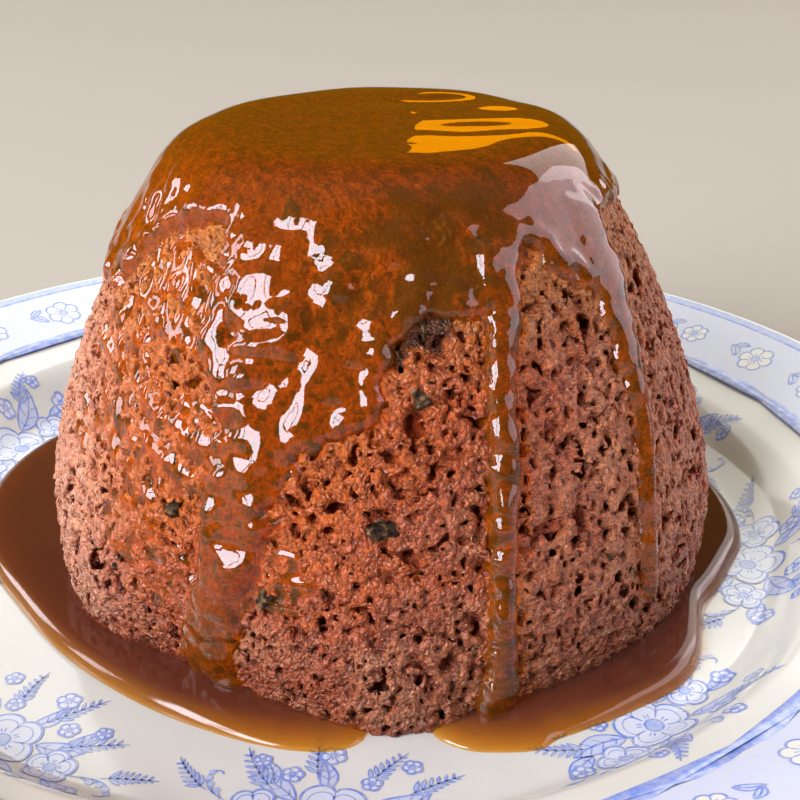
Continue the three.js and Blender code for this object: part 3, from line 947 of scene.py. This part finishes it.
# The sheet follows the lumps under it at the left, and is smoother at the right and on top.
lumpy = smoothstep(34, 62, np.abs((angle + 118 + 180) % 360 - 180))
lumpy = 0.36 * MM * (1 - lumpy) + 0.04 * MM
lumpy = lumpy * (1 - 0.96 * smoothstep(53 * MM, 56.5 * MM, height))
relief = lumpy * (ripples(skin, 4.4 * MM, 5) + 0.35 * ripples(skin, 2.2 * MM, 6))
swirl = np.exp(-(np.linalg.norm(skin - [PUDDING_X + 9 * MM, 8 * MM, BASE_Z + TOP_HEIGHT],
                                axis=-1) / (13 * MM)) ** 2)
relief += (0.03 + 0.13 * swirl) * MM * ripples(skin * [0.4, 1, 1], 9 * MM, 7)
# Over the chopped fruit at the front of the shoulder it is pimpled.
pimpled = np.exp(-((angle + 86) / 30) ** 2) * smoothstep(36 * MM, 43 * MM, height)
pimpled = pimpled * (1 - smoothstep(54.5 * MM, 57.3 * MM, height))
relief += pimpled * (0.09 * MM * ripples(skin, 2.4 * MM, 8) + 0.1 * MM * ripples(skin, 4 * MM, 12))
# Low films that only fill the open bubbles: direction, height, reach and level in mm.
FILMS = [(-128, 44, 9, -0.2), (-139, 45, 9, -0.3), (-148, 38, 9, -0.35), (-124, 30, 9, -0.3),
         (-139, 31, 10, -0.35), (-134, 20, 8, -0.45), (-153, 26, 8, -0.5), (-126, 14, 7, -0.5),
         (-104, 18, 6, -0.4)]
patches = 0.22 * MM * ripples(skin, 2.8 * MM, 9)
for direction, up, reach, lift in FILMS:
    middle = side_points([(direction, up)])[0]
    away = np.linalg.norm(skin - middle, axis=-1)
    film = (lift - 0.12) * MM + patches - 1.2 * MM * np.maximum(away / (reach * MM) - 0.6, 0) * 4
    thickness = smooth_high(thickness, film, 0.3 * MM)
lift = np.maximum(thickness + relief * smoothstep(-0.6 * MM, 0.3 * MM, thickness), BURIED)
outer = skin + skin_normal * lift[..., None]
inner = skin + skin_normal * BURIED
kept = lift > BURIED + 0.05 * MM
flat = [outer.reshape(-1, 3), inner.reshape(-1, 3), [outer[0].mean(0)], [inner[0].mean(0)]]
sauce_mesh = mesh_piece("poured_sauce", np.vstack(flat), sheet_faces(kept),
                        sauce_material("toffee_sauce", 0.84, "#b86c18", "#e2ca00", 700.0))


def drop_loose(piece):
    """Deletes points that no face uses and turns the faces outwards."""
    shape = bmesh.new()
    shape.from_mesh(piece.data)
    bmesh.ops.delete(shape, geom=[v for v in shape.verts if not v.link_faces], context="VERTS")
    bmesh.ops.recalc_face_normals(shape, faces=shape.faces)
    shape.to_mesh(piece.data)
    shape.free()


drop_loose(sauce_mesh)
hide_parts("sauce_coat")
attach(sauce_mesh, "root")

# ---------------------------------------------------------------------------
# Sauce pool: what has run off stands in a level ring on the plate's well, with a
# rounded free edge. It parts in front, where the crumb meets the bare plate.
# ---------------------------------------------------------------------------

POOL_DEPTH = 2.2 * MM
POOL_LIP = 2.2 * MM
POOL_INNER = 37 * MM
POOL_MIDDLE = 46 * MM
POOL_ENDS = (-82.5, 268.5)
# Outer edge: direction and distance from the pudding's axis in mm.
POOL_EDGE = [(-83, 46.6), (-70, 49.8), (-65, 49), (-53, 49.4), (-45, 49.9), (-38, 49), (-31, 47),
             (-24, 45.6), (-17, 46.6), (-10, 48), (-2, 50), (9, 50.8), (20, 50.6), (40, 49.5),
             (60, 49), (85, 50), (110, 52.5), (130, 56), (148, 59.4), (158, 60), (168, 59),
             (180, 56.5), (192, 52.6), (202, 49.9), (214, 48.4), (229, 47.4), (245, 47.4),
             (257, 47.7), (269, 47.0)]


def pool_mesh():
    edge = drawn_through(POOL_EDGE, 600)
    turn = np.linspace(POOL_ENDS[0], POOL_ENDS[1], 520)
    radius = np.interp(turn, edge[:, 0], edge[:, 1]) * MM
    from_end = np.minimum(turn - POOL_ENDS[0], POOL_ENDS[1] - turn) * math.radians(1) * POOL_MIDDLE
    t = np.clip(from_end / (5 * MM), 0, 1)
    round_end = np.sqrt(1 - (1 - t) ** 2)
    depth = POOL_DEPTH * (0.6 + 0.4 * smoothstep(2 * MM, 22 * MM, from_end))
    lip = POOL_LIP + 3.6 * MM * (1 - smoothstep(4 * MM, 26 * MM, from_end))
    radius = POOL_INNER + (radius - POOL_INNER) * (0.62 + 0.38 * round_end)
    rows, shallow = [], []
    for k in range(40):
        # Top sheet: from the buried inner edge to the free lip, closer spaced at the lip.
        u = 1 - (1 - k / 39) ** 1.8
        inset = (radius - POOL_INNER) * (1 - u)
        top = depth * np.sqrt(1 - (1 - np.clip(inset / lip, 0, 1)) ** 2)
        end_lip = np.sqrt(1 - (1 - np.clip(from_end / POOL_LIP, 0, 1)) ** 2)
        rows.append(np.stack([radius - inset, WELL_Z + top * end_lip], -1))
        shallow.append(1 - smoothstep(0, 0.9, inset / lip))
    under = np.full(len(turn), WELL_Z - 0.12 * MM)
    rows.append(np.stack([radius - 0.02 * MM, under], -1))
    rows.append(np.stack([np.full(len(turn), POOL_INNER), under], -1))
    shallow += [np.zeros(len(turn))] * 2
    section = np.stack(rows, 1)
    a = np.radians(turn)[:, None]
    points = np.stack([PUDDING_X + section[..., 0] * np.cos(a), section[..., 0] * np.sin(a),
                       section[..., 1]], -1)
    return points, np.stack(shallow, 1)


def tube_faces(rings, sides):
    faces = []
    for i in range(rings - 1):
        for k in range(sides):
            j = (k + 1) % sides
            faces.append((i * sides + k, i * sides + j, (i + 1) * sides + j, (i + 1) * sides + k))
    faces.append(tuple(range(sides))[::-1])
    faces.append(tuple((rings - 1) * sides + k for k in range(sides)))
    return faces


POOL_BROWN, POOL_GOLD = "#a06a54", "#e09a30"
pool_sauce = sauce_material("pooled_toffee", 0.86, POOL_BROWN, "#dfb826", 1000.0)
# A skin is forming on it, so it mirrors less sharply, and its shallow lip is golden.
pool_tree = pool_sauce.node_tree
pool_shader = pool_tree.nodes["Principled BSDF"]
pool_shader.inputs["Roughness"].default_value = 0.12
lip_share = add(pool_tree, "Attribute", attribute_name="shallow")
pool_body = add(pool_tree, "Mix", lip_share.outputs["Fac"], linear(POOL_BROWN),
                linear(POOL_GOLD), data_type="RGBA")
pool_tree.links.new(pool_body.outputs[2], pool_shader.inputs["Base Color"])
pool_points, pool_shallow = pool_mesh()
pool = mesh_piece("pooled_sauce", pool_points.reshape(-1, 3), tube_faces(*pool_points.shape[:2]),
                  pool_sauce)
shallow_layer = pool.data.attributes.new("shallow", "FLOAT", "POINT")
shallow_layer.data.foreach_set("value", pool_shallow.astype(np.float32).ravel())
drop_loose(pool)
# It is too cloudy for the print to show through it.
pool_edge = drawn_through(POOL_EDGE, 600)
ink_local = np.array(ink_points) - [PUDDING_X, 0, 0]
ink_turn = np.degrees(np.arctan2(ink_local[:, 1], ink_local[:, 0]))
ink_turn = np.where(ink_turn < POOL_ENDS[0], ink_turn + 360, ink_turn)
covered = np.hypot(ink_local[:, 0], ink_local[:, 1]) < np.interp(
    ink_turn, pool_edge[:, 0], pool_edge[:, 1] - 0.6, left=0, right=0) * MM
ink_colours = np.array(ink_colours, np.float32)
ink_colours[covered] = linear(GLAZE_WHITE)
ink_layer.data.foreach_set("color", ink_colours.ravel())
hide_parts("sauce_pool")
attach(pool, "root")

# ---------------------------------------------------------------------------
# Fruit: chopped dates in the batter. The bits that lie at the skin show as dark,
# wrinkled, slightly dusty lumps, sunk nearly flush with the crumb.
# ---------------------------------------------------------------------------

# Direction, height above the base in mm, half length in mm.
FRUIT_PLACES = [(-107, 16, 2.5), (-124, 23, 2.5), (-125, 29, 2.1), (-89, 24, 2.7), (-84, 22, 1.6),
                (-83, 37, 2.3), (-46, 12, 2.2), (-51, 16, 1.7), (-75, 52, 2.8), (-66, 51, 3.0),
                (-97, 50, 2.6), (-81, 44, 2.0), (-111, 54, 2.4), (-70, 47, 1.9), (-76, 9, 1.6),
                (-136, 14, 1.7), (-66, 19, 1.4), (-30, 30, 1.6), (-20, 12, 1.9), (12, 24, 2.0),
                (34, 9, 1.7), (58, 33, 2.2), (74, 15, 1.8), (102, 40, 1.9), (119, 11, 2.2),
                (138, 27, 1.8), (166, 14, 2.0), (183, 33, 1.9), (201, 21, 1.6)]
UNDER_COAT = 43              # height in mm above which sauce covers them


def fruit_tree(material):
    tree, given, result = node_group("chopped_fruit", ["Wrinkle"])
    ball = add(tree, "GeometryNodeMeshIcoSphere", {"Radius": 1.0, "Subdivisions": 4})
    size = add(tree, "GeometryNodeInputNamedAttribute", {"Name": "half_length"}, data_type="FLOAT")
    turn = add(tree, "FunctionNodeRandomValue", {0: (0, 0, 0), 1: (6.28, 6.28, 6.28), "Seed": 4},
               data_type="FLOAT_VECTOR")
    shape = add(tree, "VectorMath.MULTIPLY", (1.15, 0.72, 0.8),
                add(tree, "CombineXYZ", size, size, size))
    placed = add(tree, "GeometryNodeInstanceOnPoints",
                 {"Points": given.outputs["Geometry"], "Instance": ball.outputs["Mesh"],
                  "Rotation": turn, "Scale": shape})
    real = add(tree, "GeometryNodeRealizeInstances", {"Geometry": placed})
    position = add(tree, "GeometryNodeInputPosition")
    lumps = add(tree, "TexNoise", {"Vector": position, "Scale": 1 / (1.7 * MM), "Detail": 2.0},
                noise_type="RIDGED_MULTIFRACTAL")
    rise = add(tree, "Math.MULTIPLY", add(tree, "Math.SUBTRACT", lumps, 0.8),
               given.outputs["Wrinkle"])
    normal = add(tree, "GeometryNodeInputNormal")
    push = add(tree, "VectorMath.SCALE", normal, rise)
    moved = add(tree, "GeometryNodeSetPosition", {"Geometry": real, "Offset": push})
    coloured = add(tree, "GeometryNodeSetMaterial", {"Geometry": moved, "Material": material})
    tree.links.new(coloured.outputs[0], result.inputs[0])
    return tree


def fruit_material():
    # Steamed date: dark brown skin gone grey and dull where crumb clings to it.
    material, tree = new_material("chopped_date")
    coords = add(tree, "TexCoord").outputs["Object"]
    dust = add(tree, "TexNoise", {"Vector": coords, "Scale": 1 / (0.9 * MM), "Detail": 4.0})
    colour = ramp_stops(add(tree, "ValToRGB", {"Fac": dust.outputs["Fac"]}),
                        [(0.36, "#1a1008"), (0.52, "#3c2c1c"), (0.7, "#86694a")])
    bump = add(tree, "Bump", {"Height": dust.outputs["Fac"], "Strength": 1.0,
                              "Distance": 0.5 * MM})
    shader = add(tree, "BsdfPrincipled",
                 {"Base Color": colour.outputs["Color"], "Roughness": 0.8,
                  "Specular IOR Level": 0.12, "Normal": bump.outputs["Normal"]})
    add(tree, "OutputMaterial", {"Surface": shader.outputs["BSDF"]})
    return material


fruit_points = side_points([(a, h) for a, h, _ in FRUIT_PLACES])
fruit_size = np.array([s * MM for _, _, s in FRUIT_PLACES])
fruit_height = np.array([h for _, h, _ in FRUIT_PLACES])
axis_point = np.stack([np.full(len(fruit_points), PUDDING_X), np.zeros(len(fruit_points)),
                       fruit_points[:, 2]], -1)
inward = (axis_point - fruit_points) / np.linalg.norm(axis_point - fruit_points, axis=1)[:, None]
sunk = np.where(fruit_height > UNDER_COAT, fruit_size * 0.5, fruit_size * 0.3 + 0.6 * MM)
fruit_points = fruit_points + inward * sunk[:, None]
seeds_mesh = bpy.data.meshes.new("fruit_places")
seeds_mesh.from_pydata([tuple(p) for p in fruit_points], [], [])
seeds_mesh.attributes.new("half_length", "FLOAT", "POINT").data.foreach_set("value", fruit_size)
fruit_mesh = grown_mesh("fruit", seeds_mesh, fruit_tree(fruit_material()),
                        {"Wrinkle": 1.2 * MM})
fruit = bpy.data.objects.new("fruit_bits", fruit_mesh)
bpy.context.scene.collection.objects.link(fruit)
fruit_mesh.name = "fruit_bits"
fruit_mesh.shade_smooth()
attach(fruit, "root")

# ---------------------------------------------------------------------------
# Studio: a pale table top, a window of four panes at the left in front, a second one
# straight to the left, and soft fill from the right and from behind. A low strip of
# golden light shines on the poured sauce alone, and a wide panel on the plate alone.
# ---------------------------------------------------------------------------

def floor_material():
    # Matt painted board, toned darker far out, so that it looks even under the lights.
    material, tree = new_material("matt_painted_board")
    coords = add(tree, "TexCoord").outputs["Object"]
    far = add(tree, "MapRange", {"Value": add(tree, "VectorMath.DISTANCE", coords, (0, 0.2, 0)),
                                 "From Min": 0.3, "From Max": 1.3},
              interpolation_type="SMOOTHSTEP")
    colour = add(tree, "Mix", far, linear("#bfbba9"), linear("#828073"), data_type="RGBA")
    shader = add(tree, "BsdfPrincipled",
                 {"Base Color": colour, "Roughness": 0.8, "Specular IOR Level": 0.1})
    add(tree, "OutputMaterial", {"Surface": shader.outputs["BSDF"]})
    return material


floor = mesh_piece("table", [(-4, -4, 0), (4, -4, 0), (4, 4, 0), (-4, 4, 0)], [(0, 1, 2, 3)],
                   floor_material())

world = bpy.data.worlds.new("studio")
bpy.context.scene.world = world
world.use_nodes = True
# The studio is bright in front and at the sides. Low behind the pudding it is dim and
# golden, which is what the level sauce on top mirrors.
sky = world.node_tree
direction = add(sky, "SeparateXYZ", {"Vector": add(sky, "TexCoord").outputs["Generated"]})
behind = add(sky, "MapRange", {"Value": direction.outputs["Y"], "From Min": 0.2, "From Max": 0.6})
golden = ramp_stops(add(sky, "ValToRGB", {"Fac": direction.outputs["Z"]}),
                    [(0.44, "#8a660c"), (0.6, "#5c4a22"), (0.95, "#5c5450")])
glow = add(sky, "Mix", behind, linear("#756e6c"), golden.outputs["Color"], data_type="RGBA")
front = add(sky, "MapRange", {"Value": direction.outputs["Y"], "From Min": 0.05, "From Max": -0.5})
shaded = add(sky, "Mix", front, glow, linear("#4c4440"), data_type="RGBA")
backdrop = sky.nodes["Background"]
backdrop.inputs["Strength"].default_value = 1.0
sky.links.new(shaded.outputs[2], backdrop.inputs["Color"])
bpy.context.scene.view_settings.view_transform = "Standard"


def soft_light(name, place, target, size, watts, colour):
    light = bpy.data.lights.new(name, "AREA")
    light.shape = "RECTANGLE"
    light.size, light.size_y = size
    light.energy = watts
    light.color = linear(colour)[:3]
    lamp = bpy.data.objects.new(name, light)
    lamp.location = place
    aim = mathutils.Vector(target) - mathutils.Vector(place)
    lamp.rotation_euler = aim.to_track_quat("-Z", "Y").to_euler()
    lamp.visible_camera = False
    bpy.context.scene.collection.objects.link(lamp)
    return lamp


middle = (PUDDING_X, 0, 0.03)
WINDOW = mathutils.Vector((-1.247, -1.08, 0.89))
WINDOW_WAY = mathutils.Vector((0.655, -0.755, 0))
PANE = (0.56, 0.56)
PANE_STEP = 0.31             # from the window's middle to a pane's, past the dark bars
for column in (-1, 1):
    for row in (-1, 1):
        up = mathutils.Vector((0, 0, row * PANE_STEP))
        pane = WINDOW + WINDOW_WAY * column * PANE_STEP + up
        soft_light("window_pane", pane, middle, PANE, 18.4, "#f1f1ff")
for along in (-0.4, 0.4):
    # Two panes of a second window, straight to the left.
    soft_light("side_pane", (-1.907 + 0.3 * along, 0.4 + along, 0.65), middle, (0.4, 0.88), 10.4,
               "#f6f0fa")
soft_light("room", (1.993, 0.2, 0.81), middle, (3.2, 1.6), 54, "#efe2ee")
soft_light("back_fill", (1.193, 1.5, 0.97), middle, (1.2, 1.0), 8.8, "#f0eae6")
plate_fill = soft_light("plate_fill", (0.1, 1.35, 1.05), middle, (3.0, 1.2), 36, "#fbfbf4")
only_plate = bpy.data.collections.new("lit_by_plate_fill")
only_plate.objects.link(plate)
only_plate.objects.link(transfer)
plate_fill.light_linking.receiver_collection = only_plate
gold = soft_light("gold", (0.26, 0.95, 0.34), middle, (0.5, 0.06), 0.24, "#ffa000")
only_coat = bpy.data.collections.new("lit_by_gold")
only_coat.objects.link(sauce_mesh)
gold.light_linking.receiver_collection = only_coat

CAMERA_DISTANCE = 170 * MM
CAMERA_HEIGHT = WELL_Z + 99.8 * MM
CAMERA_PITCH = math.radians(24.88)
camera_data = bpy.data.cameras.new("camera")
camera_data.sensor_width = 36
camera_data.lens = 62.8
camera_data.clip_start = 0.01
camera = bpy.data.objects.new("camera", camera_data)
camera.location = (PUDDING_X + 2.4 * MM, -CAMERA_DISTANCE, CAMERA_HEIGHT)
camera.rotation_euler = (math.pi / 2 - CAMERA_PITCH, 0, 0)
bpy.context.scene.collection.objects.link(camera)
bpy.context.scene.camera = camera
